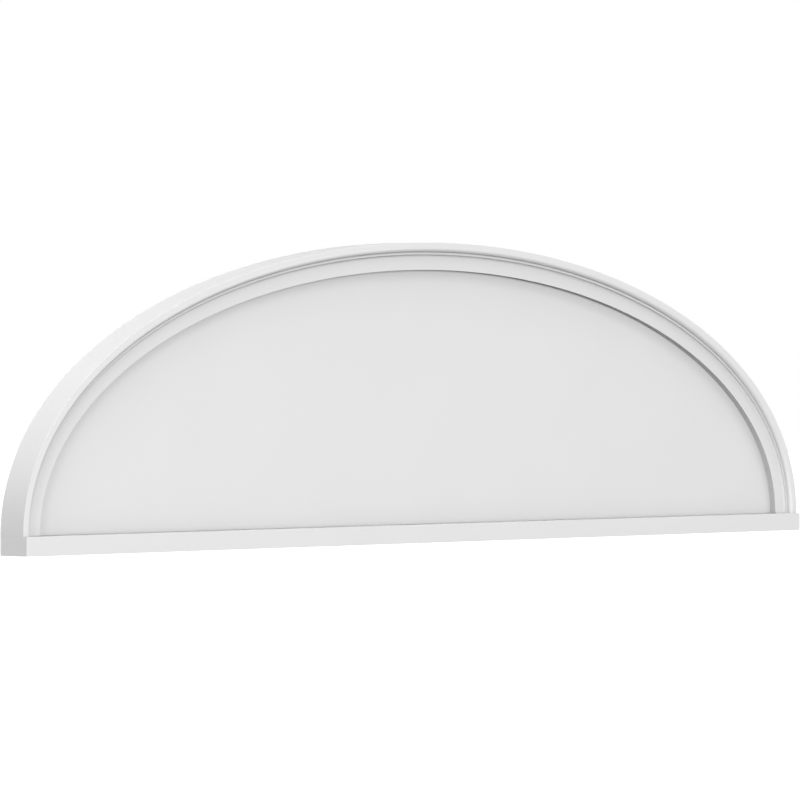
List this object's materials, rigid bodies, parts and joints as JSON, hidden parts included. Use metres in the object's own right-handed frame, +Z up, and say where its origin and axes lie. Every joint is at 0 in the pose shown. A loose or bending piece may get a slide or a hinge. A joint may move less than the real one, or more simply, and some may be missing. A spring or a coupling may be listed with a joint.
{
  "type": "segmental pediment",
  "caption": "Low arched pediment for the head of a door or window: a moulded arch on a square bottom trim, closed by a plain recessed panel, flat at the back for a wall.",
  "frame": {"origin": "on the flat back face, half way across the width and half way up the height; the mount wall_face", "axes": "+X to the right for someone facing the front, +Y into the wall behind, so the moulded front faces -Y, +Z up"},
  "size_m": [1.5748, 0.0508, 0.419],
  "materials": {
    "white_pvc": "white expanded PVC board, routed edges, smooth satin skin, unpainted"
  },
  "bodies": {
    "root": {"arch_moulding": "white_pvc", "tympanum_panel": "white_pvc", "bottom_trim": "white_pvc"}
  },
  "joints": []
}
